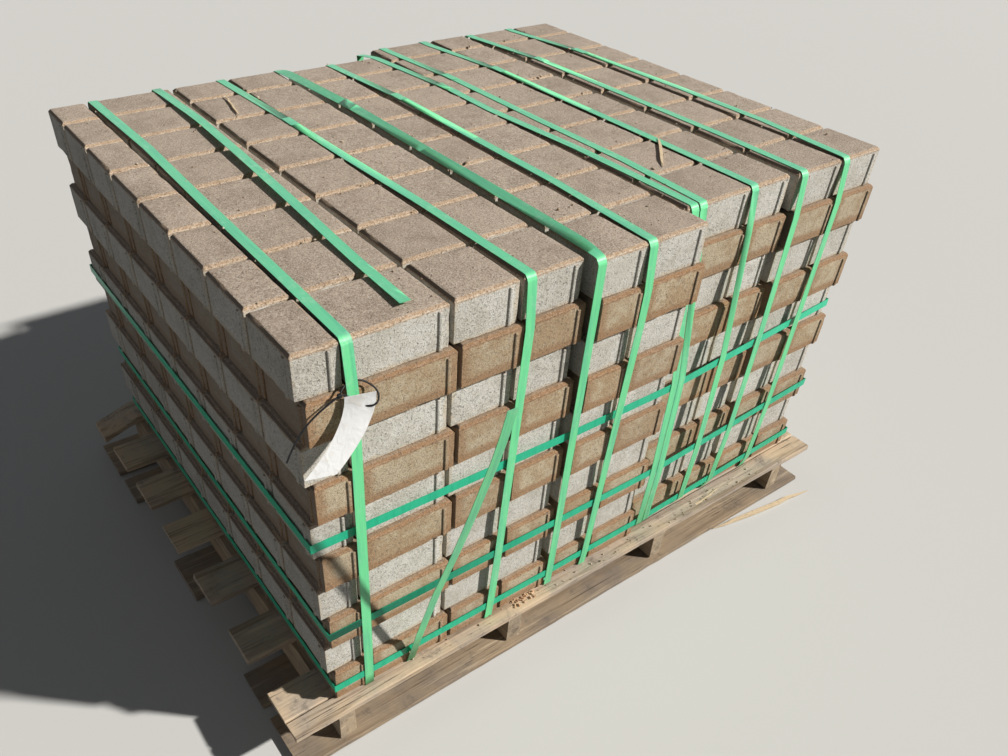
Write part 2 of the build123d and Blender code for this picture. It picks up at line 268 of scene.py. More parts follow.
def make_concrete(name, top, top_tint, chamfer, body, spots, rim, reach, lip, specks, left_shade):
    """Pressed concrete: a top mix, its chamfer strip, and a body in two colours with a rim."""
    s = Surface(name, {"Roughness": 0.94})
    height, corner, tone = (s.attribute(label) for label in ("height", "corner", "tone"))
    s.move_by(tone, STONE_JUMP)
    blotches = s.noise(9, detail=5, roughness=0.65)
    patches = s.noise(45, detail=4, roughness=0.7)
    stones = s.noise(300, detail=2, roughness=0.6)
    grains = s.noise(640, detail=2, roughness=0.8)
    pits = s.noise(150, detail=3, roughness=0.75)
    stains = s.noise(5.0, detail=7, roughness=0.72)
    across = s.facing("X")

    ragged = (patches - 0.5) * 0.034 + (blotches - 0.5) * 0.030
    side = s.tinted(
        body,
        (spots, (blotches * 0.6 + patches * 0.4).above(0.43, 0.58)),
        (rim, (corner + ragged).below(reach * 0.3, reach) * 0.75),
        (rim, (height + ragged * 0.7).below(reach * 0.5, reach) * 0.85),
        (chamfer, (height + ragged * 0.20).above(LIP_HEIGHT - 0.005, LIP_HEIGHT - 0.001)))
    face = s.tinted(top, (top_tint, (blotches * 0.65 + patches * 0.35).above(0.44, 0.60)))
    edge = (height + (patches - 0.5) * 0.002).above(LIP_HEIGHT - 0.0014, LIP_HEIGHT - 0.0006)
    edge = edge * height.below(LIP_HEIGHT + 0.0004, LIP_HEIGHT + 0.0012)
    # Painted shade: the chamfers that face along X, above the lip, look into the long joints.
    joint_shade_mask = (across * across).above(0.30, 0.45) * height.above(LIP_HEIGHT - 0.001, LIP_HEIGHT)
    colour = s.tinted(
        side,
        (face, s.facing("Z").above(0.80, 0.97)),
        # a pale line along the lip: partly its own colour, partly a painted highlight
        (lip, edge * pits.below(0.50, 0.60) * 0.45),
        (PALE_STONE, stones.below(0.37, 0.44) * 0.40 * specks),
        (DARK_STONE, stones.above(0.56, 0.64) * 0.50),
        (DARK_GRAIN, grains.above(0.56, 0.66) * 0.85),
        (PALE_GRAIN, grains.below(0.31, 0.42) * 0.60 * specks),
        (STAIN, stains.above(0.60, 0.76) * 0.55),
        # painted shade in the long joints
        (PAINTED_JOINT_SHADE, joint_shade_mask * 0.80),
        # painted shade on the faces that look to the left
        (PAINTED_LEFT_SHADE, across.below(-0.95, -0.60) * left_shade),
        (DARK_BATCH, tone * 0.16))
    bumps = [(patches, 0.0012), (stones, 0.0010), (grains, 0.0008),
             (pits.below(0.56, 0.70), 0.0010)]
    return s.finish(colour, bumps=bumps)


print("a lip", round(LIP_HEIGHT * 1000, 1), "mm above the foot of each stone")

# %% Two mixes
# Each mix says how much painted shade darkens its left side.
grey_concrete = make_concrete(
    "grey_concrete", top=(0.440, 0.350, 0.276), top_tint=(0.335, 0.260, 0.200),
    chamfer=(0.440, 0.305, 0.195), body=(0.660, 0.650, 0.600), spots=(0.540, 0.520, 0.460),
    rim=(0.600, 0.515, 0.390), reach=0.007, lip=(0.760, 0.660, 0.530), specks=1.0, left_shade=0.16)
brown_concrete = make_concrete(
    "brown_concrete", top=(0.330, 0.230, 0.150), top_tint=(0.250, 0.168, 0.104),
    chamfer=(0.290, 0.158, 0.072), body=(0.520, 0.430, 0.295), spots=(0.400, 0.280, 0.160),
    rim=(0.335, 0.185, 0.082), reach=0.024, lip=(0.400, 0.280, 0.170), specks=0.35, left_shade=0.62)
print("concrete:", grey_concrete.name, brown_concrete.name)

# %% [markdown]
# ## Strap
#
# The straps are polyester band, slightly glossy, embossed with fine diamonds and dusty from
# the stones. The diamonds are the product of two sine waves that cross the band at a slant,
# which costs nothing and stays sharp at any distance, where an image would blur. The upright
# straps are a pale green and the level ones a deep green.

# %% Strap material
EMBOSS_PITCH, EMBOSS_DEPTH = 0.0034, 0.00012


def make_strap_material(name, colour, deep, dusty):
    """Embossed band in one colour, deeper in streaks, deeper on top with painted shade, and
    dusty in places.
    """
    s = Surface(name, {"Roughness": 0.4, "Coat Weight": 0.05, "Coat Roughness": 0.30})
    x, y, z = (s.along(axis) for axis in "XYZ")
    turns = 2 * math.pi / EMBOSS_PITCH
    run = y - z
    diamonds = ((run + x) * turns).wave() * ((run - x) * turns).wave()
    dust = s.noise(70, detail=5, roughness=0.72)
    streaks = s.noise(16, detail=4, stretch=(7, 0.5, 0.5))
    scuffs = s.noise(9, detail=6, roughness=0.7)
    colour = s.tinted(
        colour,
        (deep, streaks.above(0.42, 0.66) * 0.45),
        # painted shade: runs that face up are a deeper green
        (deep, s.facing("Z").above(0.80, 0.99) * 0.55),
        (dusty, (dust * 0.6 + scuffs * 0.4).above(0.50, 0.66) * 0.45))
    roughness = streaks * 0.25 + dust * 0.25 + 0.18
    return s.finish(colour, roughness, bumps=[(diamonds, EMBOSS_DEPTH), (streaks, 0.0007)])


# Each deep colour tints the streaks and is also the painted shade on the top runs.
mint = make_strap_material("upright_strap", colour=(0.150, 0.670, 0.300),
                           deep=(0.078, 0.405, 0.262), dusty=(0.350, 0.640, 0.450))
emerald = make_strap_material("level_strap", colour=(0.004, 0.455, 0.250),
                              deep=(0.003, 0.320, 0.180), dusty=(0.075, 0.460, 0.295))
print("straps:", mint.name, emerald.name)

# %% [markdown]
# ## Paper and plastic
#
# The tag is a strip of matt card that has been creased and has picked up a little dirt in its
# creases. The cable tie is black plastic, scuffed and nearly matt. Both are small, so a colour
# and one tint are enough for either, and the card has its creases and fibres as bumps.

# %% Tag and tie materials
CARD_WHITE, CREASE_DIRT = (0.690, 0.695, 0.700), (0.540, 0.520, 0.480)
TIE_BLACK, TIE_SCUFF = (0.008, 0.008, 0.009), (0.030, 0.028, 0.027)


def make_paper():
    """Matt card with dirt in its creases."""
    s = Surface("tag_paper", {"Roughness": 0.72})
    creases = s.noise(60, detail=4, distortion=0.8)
    fibres = s.noise(1100, detail=2)
    colour = s.tinted(CARD_WHITE, (CREASE_DIRT, creases.above(0.54, 0.72) * 0.55))
    return s.finish(colour, bumps=[(creases, 0.0012), (fibres, 0.00012)])


def make_tie_plastic():
    """Scuffed black plastic."""
    s = Surface("tie_plastic", {"Roughness": 0.55, "Specular IOR Level": 0.25})
    scuffs = s.noise(300, detail=3)
    return s.finish(s.tinted(TIE_BLACK, (TIE_SCUFF, scuffs.above(0.55, 0.72))))


paper, tie_plastic = make_paper(), make_tie_plastic()
print("tag and tie:", paper.name, tie_plastic.name)

# %% [markdown]
# ## Wood
#
# The pallet is rough-sawn softwood that has stood outside: grey where the weather reaches,
# tan underneath, with dark rings and open cracks that run along each board. The boards at
# the bottom are darker. A noise becomes grain when it is stretched: squeezed hard across the
# board and hardly at all along it.

# %% Wood
BOARD_JUMP = (3.7, 5.3, 2.9)  # how far the pattern of one board may lie from the next one's
RING_DARK, RING_PALE = (0.190, 0.132, 0.082), (0.780, 0.650, 0.470)
FIBRE_DARK, WOOD_DIRT = (0.080, 0.058, 0.042), (0.105, 0.084, 0.064)


def make_wood(name, along, grey, tan):
    """Weathered softwood whose grain runs along one axis."""
    s = Surface(name, {"Roughness": 0.9})
    s.move_by(s.attribute("tone"), BOARD_JUMP)
    coarse = tuple(0.9 if axis == along else 22 for axis in "XYZ")
    fine = tuple(1.6 if axis == along else 95 for axis in "XYZ")
    rings = s.noise(3.0, detail=5, roughness=0.62, stretch=coarse, distortion=0.35)
    fibres = s.noise(3.0, detail=4, roughness=0.7, stretch=fine)
    weather = s.noise(4.5, detail=5, roughness=0.65)
    dirt = s.noise(18, detail=5, roughness=0.75)
    colour = s.tinted(
        tan,
        (grey, weather.above(0.38, 0.60)),
        (RING_DARK, rings.above(0.50, 0.68) * 0.72),
        (RING_PALE, rings.below(0.28, 0.43) * 0.50),
        (FIBRE_DARK, fibres.above(0.56, 0.69) * 0.80),
        (WOOD_DIRT, dirt.above(0.56, 0.70) * 0.60))
    cracks = fibres.below(0.60, 0.74)
    bumps = [(rings, 0.0016), (fibres, 0.0014), (cracks, 0.0014), (dirt, 0.0006)]
    return s.finish(colour, bumps=bumps)


board_wood = make_wood("board_wood", "X", (0.400, 0.335, 0.270), (0.570, 0.435, 0.298))
bottom_wood = make_wood("bottom_wood", "X", (0.212, 0.170, 0.130), (0.320, 0.240, 0.158))
stringer_wood = make_wood("stringer_wood", "Y", (0.345, 0.275, 0.198), (0.500, 0.380, 0.245))
print("wood:", board_wood.name, bottom_wood.name, stringer_wood.name)

# %% [markdown]
# ## Working on the model's shapes
#
# A CAD node arrives as loose triangles. Its copy is welded first, because a bevel or a cut
# needs edges that two faces share. The next helpers split a copy into its solids, cut it
# across an axis, add a bar or a finished part to it, and show the result as a piece.

# %% Reading shapes
WELD = 1e-5  # points closer than this are one point
TOUCHING = 1e-4  # and within this they lie in one plane


def take(name):
    """A welded copy of a CAD node's shape."""
    shape = bmesh.new()
    shape.from_mesh(nodes[name].data)
    bmesh.ops.remove_doubles(shape, verts=shape.verts, dist=WELD)
    return shape


def limits(verts):
    """Lowest and highest corner of some points."""
    return (Vector(min(v.co[k] for v in verts) for k in range(3)),
            Vector(max(v.co[k] for v in verts) for k in range(3)))


def islands(shape):
    """The separate solids of a shape, each as its list of points."""
    left, found = set(shape.verts), []
    while left:
        group = [left.pop()]
        for vert in group:
            for edge in vert.link_edges:
                other = edge.other_vert(vert)
                if other in left:
                    left.discard(other)
                    group.append(other)
        found.append(group)
    return sorted(found, key=lambda group: tuple(limits(group)[0]))


print("points closer than", WELD, "m are welded")

# %% Changing shapes
def cut(shape, place, square):
    """Cuts all faces of a shape along a plane, so that they have points there."""
    parts = shape.verts[:] + shape.edges[:] + shape.faces[:]
    bmesh.ops.bisect_plane(shape, geom=parts, plane_co=place, plane_no=square)


def slice_across(shape, axis, pitch):
    """Cuts a shape square to one axis, about a pitch apart."""
    low, high = limits(shape.verts)
    steps = round((high[axis] - low[axis]) / pitch)
    square = Vector(float(k == axis) for k in range(3))
    for step in range(1, steps):
        cut(shape, low + square * (high[axis] - low[axis]) * step / steps, square)


def bevel(shape, edges, size, segments=1):
    bmesh.ops.bevel(shape, geom=edges, offset=size, segments=segments, profile=0.5,
                    affect="EDGES", material=-1)


def add_bar(shape, place, size):
    """Adds a plain bar with its middle at a place, and returns its points."""
    matrix = Matrix.Translation(place) @ Matrix.Diagonal((*size, 1))
    return bmesh.ops.create_cube(shape, size=1, matrix=matrix)["verts"]


def join(shape, part):
    """Adds a finished part to a shape."""
    mesh = bpy.data.meshes.new("part")
    part.to_mesh(mesh)
    part.free()
    shape.from_mesh(mesh)
    bpy.data.meshes.remove(mesh)


print("shapes can be cut, bevelled and joined")

# %% Showing shapes
def make_mesh(shape, name, material):
    mesh = bpy.data.meshes.new(name)
    shape.to_mesh(mesh)
    shape.free()
    mesh.materials.append(material)
    return mesh


def show(shape, name, material, stands_for=(), smooth_angle=None):
    """Turns a shape into a shown piece that rides on the load.

    Where two faces meet at less than the smooth angle, in degrees, no edge shows.
    """
    mesh = make_mesh(shape, name, material)
    piece = add_object(name, mesh)
    if smooth_angle:
        mesh.shade_smooth()
        mesh.set_sharp_from_angle(angle=math.radians(smooth_angle))
    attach(piece, "root")
    if stands_for:
        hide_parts(*stands_for)
    return piece


def count_faces(pieces):
    return sum(len(piece.data.polygons) for piece in pieces)


# %% [markdown]
# ## One paver
#
# The real stone is a block with a wide chamfer on top and spacer ribs on its sides, and
# its edges crumble. One way would be to sculpt it, and another to displace it in the shader,
# but neither gives the ragged outline against the dark joints. So each stone is cut from a
# cube: its top edges are bevelled for the chamfer, all its edges are broken a little, and it
# is sliced so that the points along the edges can be drawn inwards by a noise. The model's
# chamfer is plain and wide. On the stones it reads narrower, so it is cut smaller here.

# %% Wear
SHARP = 0.3  # an edge's angle in radians, above which it wears
SEED_STEPS = (1.37, 0.71, 0.29)
GRIT_DEPTH, GRIT_SCALE, FLAT_SHARE = 0.0008, 170, 0.2
CHIP_DEPTH, CHIP_SCALE, CHIP_START = 0.0075, 34, 0.30


def wear(shape, seed):
    """Draws points inwards: a grain's depth along the edges, and deeper where a chip is out."""
    shape.normal_update()
    away = Vector(seed * step for step in SEED_STEPS)
    moves = []
    for vert in shape.verts:
        rough = (noise.noise(vert.co * GRIT_SCALE + away) + 1) / 2
        deep = max(0.0, noise.noise(vert.co * CHIP_SCALE + away) - CHIP_START)
        if max(edge.calc_face_angle(0) for edge in vert.link_edges) > SHARP:
            depth = GRIT_DEPTH * rough + CHIP_DEPTH * deep * rough
        else:
            depth = GRIT_DEPTH * rough * FLAT_SHARE
        moves.append(vert.normal * depth)
    for vert, move in zip(shape.verts, moves):
        vert.co -= move


print("chips up to", round(CHIP_DEPTH * (1 - CHIP_START) * 1000, 1), "mm deep")

# %% One paver
MODEL_CHAMFER, BROKEN_EDGE, SLICE = 0.009, 0.0011, 0.0135
RIB_WIDTH, RIB_DEPTH = 0.007, 0.003
RIB_SHORTER, RIB_RAISED, RIB_ROUND = 0.0025, 0.001, 0.0019


def add_rib(shape, size, axis, side, along):
    """A spacer rib: a bar with bevelled corners, half sunk in the side of a block."""
    tall = size.z - MODEL_CHAMFER - RIB_SHORTER
    bar = Vector((RIB_WIDTH, RIB_WIDTH, tall))
    bar[axis] = 2 * RIB_DEPTH
    place = Vector((along, along, -(size.z - tall) / 2 + RIB_RAISED))
    place[axis] = side * size[axis] / 2
    outer = {v for v in add_bar(shape, place, bar) if (v.co[axis] - place[axis]) * side > 0}
    touching = {e for v in outer for e in v.link_edges}
    bevel(shape, [e for e in touching if all(v in outer for v in e.verts)], RIB_ROUND, 2)


def make_block(size, ribs, seed):
    """A worn paver with its middle at the origin."""
    block = bmesh.new()
    add_bar(block, (0, 0, 0), size)
    bevel(block, [e for e in block.edges if all(v.co.z > 0 for v in e.verts)], WORN_CHAMFER)
    bevel(block, block.edges[:], BROKEN_EDGE)
    for axis in range(3):
        slice_across(block, axis, SLICE)
    wear(block, seed)
    for axis, side, along in ribs:
        add_rib(block, size, axis, side, along)
    return block


print("a chamfer of", WORN_CHAMFER * 1000, "mm and slices", SLICE * 1000, "mm apart")

# %% [markdown]
# ## The layers
#
# The model says where each paver is. Its top face is a chamfer's width smaller than its
# body, and what stands out beyond the body is a rib, so both can be read from the points. The
# wide block in the middle of a lower layer stands for stones that nobody can see. The inner
# stones on top have settled: each is turned a little and has crept by up to a millimetre.

# %% Reading the model
LAYERS = 10
SETTLED_DEGREES, SETTLED_DRIFT = 0.35, 0.001


def read_block(group):
    """Body corners of a CAD paver and its ribs, as (axis, side, place along the side)."""
    low, high = limits(group)
    top_low, top_high = limits([v for v in group if v.co.z > high.z - WELD])
    if (top_low - low).xy.length < TOUCHING:
        return low, high, None
    margin = Vector((MODEL_CHAMFER, MODEL_CHAMFER, 0))
    low, high = Vector((*(top_low - margin).xy, low.z)), top_high + margin
    middle, ribs = (low + high) / 2, []
    for axis in (0, 1):
        for side, face in ((-1, low), (1, high)):
            outside = [v.co[1 - axis] for v in group
                       if (v.co[axis] - face[axis]) * side > RIB_DEPTH / 2]
            if outside:
                ribs.append((axis, side, sum(outside) / len(outside) - middle[1 - axis]))
    return low, high, ribs


def settle(block, dice):
    """Turns a stone that has room round it and moves it a little."""
    degrees = dice.uniform(-SETTLED_DEGREES, SETTLED_DEGREES)
    turn = Matrix.Rotation(math.radians(degrees), 3, "Z")
    bmesh.ops.rotate(block, verts=block.verts, cent=(0, 0, 0), matrix=turn)
    drift = [dice.uniform(-SETTLED_DRIFT, SETTLED_DRIFT) for _ in "XY"]
    bmesh.ops.translate(block, verts=block.verts, vec=(*drift, 0))


def mark(block, half, shade):
    """Gives each point of a stone the three attributes that its material reads."""
    floats = block.verts.layers.float
    tone, height, corner = (floats.new(name) for name in ("tone", "height", "corner"))
    for vert in block.verts:
        inside = [half[k] - abs(vert.co[k]) for k in (0, 1)]
        vert[tone], vert[height], vert[corner] = shade, vert.co.z + half.z, max(inside)


print("reads", sum(name.startswith("layer_") for name in nodes), "layers")

# %% Pavers
STONE_ANGLE = 18


def make_layer(number):
    """One layer of worn pavers."""
    dice = random.Random(100 + number)
    model, shape = take(f"layer_{number:02d}"), bmesh.new()
    for seed, group in enumerate(islands(model), start=number * 100):
        low, high, ribs = read_block(group)
        if ribs is None:
            block = bmesh.new()
            add_bar(block, (0, 0, 0), high - low)
        else:
            block = make_block(high - low, ribs, seed)
            if number == LAYERS and not ribs:
                settle(block, dice)
        mark(block, (high - low) / 2, dice.random())
        bmesh.ops.translate(block, verts=block.verts, vec=(low + high) / 2)
        join(shape, block)
    model.free()
    if (LAYERS - number) % 2:
        concrete, slot = brown_concrete, "brown_concrete"
    else:
        concrete, slot = grey_concrete, "grey_concrete"
    return show(shape, f"pavers_{number:02d}", concrete, [f"layer_{number:02d}"],
                STONE_ANGLE)


layers = [make_layer(number) for number in range(1, LAYERS + 1)]
print(len(layers), "layers,", count_faces(layers), "faces")

# %% [markdown]
# ## The pallet
#
# Sawn boards have neither straight edges nor clean ends. The model's boards are welded,
# their flat faces joined, sliced along their length and drawn in by a noise, so that the
# edges wander and the ends look splintered.

# %% Sawn timber
BOARD_SLICE, SAWN_EDGE = 0.035, 0.0016
FLAT_ANGLE, CORNER_ANGLE, MOSTLY = 0.02, 0.5, 0.9  # two angles in radians, and a share
EDGE_RAG, EDGE_SCALE = 0.0022, 28
END_RAG, END_SCALE = 0.006, 60


def fray(shape, axis, seed):
    """Draws the sides of each plank in a little, and its ends more."""
    for group in islands(shape):
        low, high = limits(group)
        middle = (low + high) / 2
        for vert in group:
            for k in range(3):
                scale = END_SCALE if k == axis else EDGE_SCALE
                spot = vert.co * scale + Vector((seed * 3.1, k * 7.7, 0))
                pull = (noise.noise(spot) + 1) / 2
                if k != axis:
                    amount = pull * EDGE_RAG
                else:
                    at_end = min(vert.co[k] - low[k], high[k] - vert.co[k]) < TOUCHING
                    amount = pull * END_RAG if at_end else 0
                vert.co[k] += amount if vert.co[k] < middle[k] else -amount


def is_long_corner(edge, axis):
    """Whether an edge is a corner of the timber and runs along it."""
    way = (edge.verts[0].co - edge.verts[1].co).normalized()
    return edge.calc_face_angle(0) > CORNER_ANGLE and abs(way[axis]) > MOSTLY


def make_timber(node, along, wood, seed):
    """A board or a stringer with uneven edges and ragged ends."""
    shape = take(node)
    bmesh.ops.dissolve_limit(shape, angle_limit=FLAT_ANGLE, verts=shape.verts,
                             edges=shape.edges)
    tone = shape.verts.layers.float.new("tone")
    axis = "XYZ".index(along)
    slice_across(shape, axis, BOARD_SLICE)
    bevel(shape, [edge for edge in shape.edges if is_long_corner(edge, axis)], SAWN_EDGE)
    fray(shape, axis, seed)
    shade = random.Random(seed).random()
    for vert in shape.verts:
        vert[tone] = shade
    return show(shape, "timber_" + node, wood, [node])


print("corners drawn in by up to", EDGE_RAG * 1000, "mm, ends by", END_RAG * 1000, "mm")

# %% Pallet
timbers = [make_timber(f"deck_board_{n}", "X", board_wood, n) for n in range(1, 8)]
timbers += [make_timber(f"bottom_board_{n}", "X", bottom_wood, 20 + n) for n in range(1, 6)]
timbers += [make_timber(f"stringer_{n}", "Y", stringer_wood, 40 + n) for n in range(1, 5)]
print(len(timbers), "timbers,", count_faces(timbers), "faces")

# %% [markdown]
# ## Straps
#
# Where a strap goes over the edge it bends round a small radius. The model has that bend in
# a few flats. Once its points are welded, smooth shading across the small angles turns the
# flats into one soft fold, and the strap's own edges, which are square, stay crisp. The fold
# is eased outwards by a hair, because the stones' chamfers are narrower here than in the
# model. The strap that was cut springs up at its near end, and the fourth one stands on its
# left edge a little, so that its top run looks away from the light.

# %% Loose straps
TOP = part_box("layer_10")[1].z
FOLD_EASE, FOLD_LOWEST, FOLD_HIGHEST = 0.0009, -0.009, -0.00005
CUT_SPRING, CUT_REACH, CUT_SLICES, CUT_POWER = 0.0065, 0.15, 7, 1.5
TILT_LEFT, TILT_RIGHT, TILT_RAMP, TILT_SLICES = 0.0022, 0.0085, 0.06, 48


def ease_folds(shape):
    """Moves the points of the folds, which lie just below the top, up and outwards."""
    for vert in shape.verts:
        if FOLD_LOWEST < vert.co.z - TOP < FOLD_HIGHEST:
            vert.co += Vector((0, math.copysign(FOLD_EASE, vert.co.y), FOLD_EASE))


def top_ends(shape):
    """Where a strap's flat run over the top starts and ends."""
    along = [v.co.y for v in shape.verts if v.co.z > TOP]
    return min(along), max(along)


def cut_at(shape, places):
    """Cuts a strap square to its run at each of some distances along Y."""
    for place in places:
        cut(shape, (0, place, 0), (0, 1, 0))


def spring_up(shape):
    """Lifts the cut end of the top run, less and less along its first stretch."""
    start, _ = top_ends(shape)
    cut_at(shape, [start + CUT_REACH * n / CUT_SLICES for n in range(1, CUT_SLICES + 1)])
    for vert in shape.verts:
        share = (vert.co.y - start) / CUT_REACH
        if vert.co.z > TOP and share < 1:
            vert.co.z += CUT_SPRING * (1 - share) ** CUT_POWER


def tilt(shape):
    """Raises the top run, its right edge most, with a short ramp at either end."""
    start, end = top_ends(shape)
    cut_at(shape, [start + (end - start) * n / TILT_SLICES for n in range(1, TILT_SLICES)])
    for vert in shape.verts:
        ramp = min(vert.co.y - start, end - vert.co.y) / TILT_RAMP
        if vert.co.z > TOP and ramp > 0:
            near = [v.co.x for v in shape.verts
                    if abs(v.co.y - vert.co.y) < TOUCHING and v.co.z > TOP]
            across = (vert.co.x - min(near)) / (max(near) - min(near))
            rise = TILT_LEFT + (TILT_RIGHT - TILT_LEFT) * across
            vert.co.z += rise * math.sin(min(1.0, ramp) * math.pi / 2)


print("the cut end springs up by", CUT_SPRING * 1000, "mm")

# %% Straps
FOLD_ANGLE = 40


def make_strap(node):
    """A strap with soft folds, in the material of the level or the upright ones."""
    if node.startswith("level_"):
        material, slot = emerald, "level_strap"
    else:
        material, slot = mint, "upright_strap"
    shape = take(node)
    if node.startswith("strap_"):
        ease_folds(shape)
    if node == "strap_2_cut":
        spring_up(shape)
    if node == "strap_4":
        tilt(shape)
    return show(shape, "band_" + node, material, [node], FOLD_ANGLE)


straps = [make_strap(name) for name in sorted(nodes) if "strap_" in name]
print(len(straps), "straps,", count_faces(straps), "faces")

# %% [markdown]
# ## The cable tie
#
# A thin black tie runs through the tag's hole and behind the strap, and its loose end stands
# out to the left. A NURBS curve with a round bevel gives its even bend from a few points. A
# chain of cylinders would show every joint. Its head is a small block with broken edges.

# %% Tie
TIE_RADIUS, TIE_ROUNDNESS, TIE_STEPS = 0.0015, 3, 8
STACK_CORNER = Vector((-0.682, -0.5515, 0.930))
TIE_LOOP = [(60, 21, 75), (74, 8.6, 70), (90, 8.1, 68), (106, 12, 72), (122, 25, 88),
            (112, 38, 102), (94, 29, 103), (88, 19.5, 99), (76, 17.8, 86), (67, 16.4, 78),
            (60, 21, 77)]
TIE_TAIL = [(60, 21, 76), (25, 20, 90), (-13, 19, 124), (-31, 22, 156)]
TIE_HEAD, TIE_HEAD_ROUND = (0.007, 0.005, 0.006), 0.0006
TIE_ANGLE = 50


def from_corner(right, out, down):
    """A place given in millimetres from the stack's top near left corner."""
    return STACK_CORNER + Vector((right, -out, -down)) / 1000


def make_tie():
    """The tie's loop and tail as one curve that is made a mesh, and its head."""
    data = bpy.data.curves.new("tie_line", "CURVE")
    data.dimensions, data.use_fill_caps = "3D", True
    data.bevel_depth, data.bevel_resolution = TIE_RADIUS, TIE_ROUNDNESS
    for route in (TIE_LOOP, TIE_TAIL):
        spline = data.splines.new("NURBS")
        spline.points.add(len(route) - 1)
        for point, place in zip(spline.points, route):
            point.co = (*from_corner(*place), 1)
        spline.order_u, spline.use_endpoint_u, spline.resolution_u = 3, True, TIE_STEPS
    line = bpy.data.objects.new("tie_line", data)
    shape = bmesh.new()
    shape.from_mesh(bpy.data.meshes.new_from_object(line))
    bpy.data.objects.remove(line)
    head = add_bar(shape, from_corner(*TIE_TAIL[0]), TIE_HEAD)
    bevel(shape, list({e for v in head for e in v.link_edges}), TIE_HEAD_ROUND, 2)
    return show(shape, "tie", tie_plastic, ["cable_tie"], TIE_ANGLE)


tie = make_tie()
print("tie:", count_faces([tie]), "faces")

# %% [markdown]
# ## The paper tag
#
# A strip of card hangs from the tie, falls to the left and curls forward. It starts as a
# flat grid with a hole: bevelling one vertex opens a round face there, which is taken out.
# The grid is then bent. Both the fall and the curl grow faster than the way down, so each is
# a power of it. Cloth simulation would fold it too softly, because card keeps its curl.

# %% Tag
TAG_TOP = Vector((-0.591, -0.5765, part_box("tag")[1].z))
TAG_TURN = math.radians(-15)
TAG_WIDTH, TAG_DROP, TAG_THICKNESS = 0.047, 0.091, 0.0005
TAG_COLUMNS, TAG_ROWS = 8, 14
TAG_FALL, TAG_FALL_POWER = 0.0775, 2.05
TAG_CURL, TAG_CURL_POWER = 0.054, 1.7
TAG_HOLE, TAG_HOLE_RADIUS = Vector((0.0073, -0.0194, 0)), 0.0041
WRINKLE, WRINKLE_SCALE, WRINKLE_FADE = 0.0012, (40, 55), 3
TAG_ANGLE = 40


def bend_tag(place):
    """Where a point of the flat tag, given from its top middle, comes to lie."""
    share = -place.y / TAG_DROP
    across = place.x - TAG_FALL * share ** TAG_FALL_POWER
    forward = TAG_CURL * share ** TAG_CURL_POWER
    spot = Vector((place.x * WRINKLE_SCALE[0], place.y * WRINKLE_SCALE[1], 1.3))
    forward += WRINKLE * noise.noise(spot) * min(1, share * WRINKLE_FADE)
    turn = Matrix.Rotation(TAG_TURN, 3, "Z")
    return TAG_TOP + turn @ Vector((across, -forward, place.y))


def make_tag():
    """A grid with a hole in it, bent and given a thickness."""
    shape = bmesh.new()
    bmesh.ops.create_grid(shape, x_segments=TAG_COLUMNS, y_segments=TAG_ROWS, size=0.5)
    bmesh.ops.translate(shape, verts=shape.verts, vec=(0, -0.5, 0))
    bmesh.ops.scale(shape, vec=(TAG_WIDTH, TAG_DROP, 1), verts=shape.verts)
    centre = min(shape.verts, key=lambda v: (v.co - TAG_HOLE).length)
    centre.co = TAG_HOLE
    opened = bmesh.ops.bevel(shape, geom=[centre], offset=TAG_HOLE_RADIUS, segments=4,
                             profile=0.5, affect="VERTICES", material=-1)
    hole = max(opened["faces"], key=lambda f: f.calc_area())
    bmesh.ops.delete(shape, geom=[hole], context="FACES")
    bmesh.ops.subdivide_edges(shape, edges=shape.edges, cuts=1, use_grid_fill=True)
    for vert in shape.verts:
        vert.co = bend_tag(Vector((vert.co.x, min(0.0, vert.co.y), 0)))
    bmesh.ops.recalc_face_normals(shape, faces=shape.faces)
    bmesh.ops.solidify(shape, geom=shape.faces, thickness=TAG_THICKNESS)
    return show(shape, "card", paper, ["tag"], TAG_ANGLE)


tag = make_tag()
print("tag:", count_faces([tag]), "faces")

# %% [markdown]
# ## Crumbs
#
# Grit gathers on the load and on the pallet's near board, a little heap of it where a corner
# has crumbled. There are hundreds of crumbs and each is tiny, so a crumb is an icosphere of
# twenty faces, turned, squashed and pulled out of shape.

# %% Crumbs
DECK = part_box("deck_board_1")[1].z
ANY_TURN = 6.28  # nearly a full circle, in radians
SQUASH = ((0.6, 1.1), (0.6, 1.1), (0.4, 0.8))  # least and most, in X, Y and Z
CRUMB_RISE, CRUMB_UNEVEN = 0.3, 0.18  # as shares of its size


def add_crumb(shape, x, y, floor, size, dice):
    """A small uneven lump that rests on the surface below it."""
    angle = dice.uniform(0, ANY_TURN)
    turn = Matrix.Rotation(angle, 4, Vector((dice.random(), dice.random(), 1)).normalized())
    squash = [dice.uniform(least, most) for least, most in SQUASH]
    place = Matrix.Translation((x, y, floor + size * CRUMB_RISE))
    made = bmesh.ops.create_icosphere(shape, subdivisions=1, radius=size,
                                      matrix=place @ turn @ Matrix.Diagonal((*squash, 1)))
    for vert in made["verts"]:
        vert.co += Vector([dice.uniform(-1, 1) for _ in "XYZ"]) * size * CRUMB_UNEVEN


def make_crumbs(name, spots, light, dark):
    """Crumbs in rectangles, each given as x and y ranges, floor, count and largest size."""
    dice = random.Random(len(name))
    shape = bmesh.new()
    for (x0, x1), (y0, y1), floor, count, largest in spots:
        for _ in range(count):
            size = largest * dice.uniform(0.25, 1.0) ** 2
            add_crumb(shape, dice.uniform(x0, x1), dice.uniform(y0, y1), floor, size, dice)
    s = Surface(name, {"Roughness": 0.95})
    colour = s.tinted(light, (dark, s.noise(90, detail=2).above(0.35, 0.65)))
    return show(shape, name, s.finish(colour))


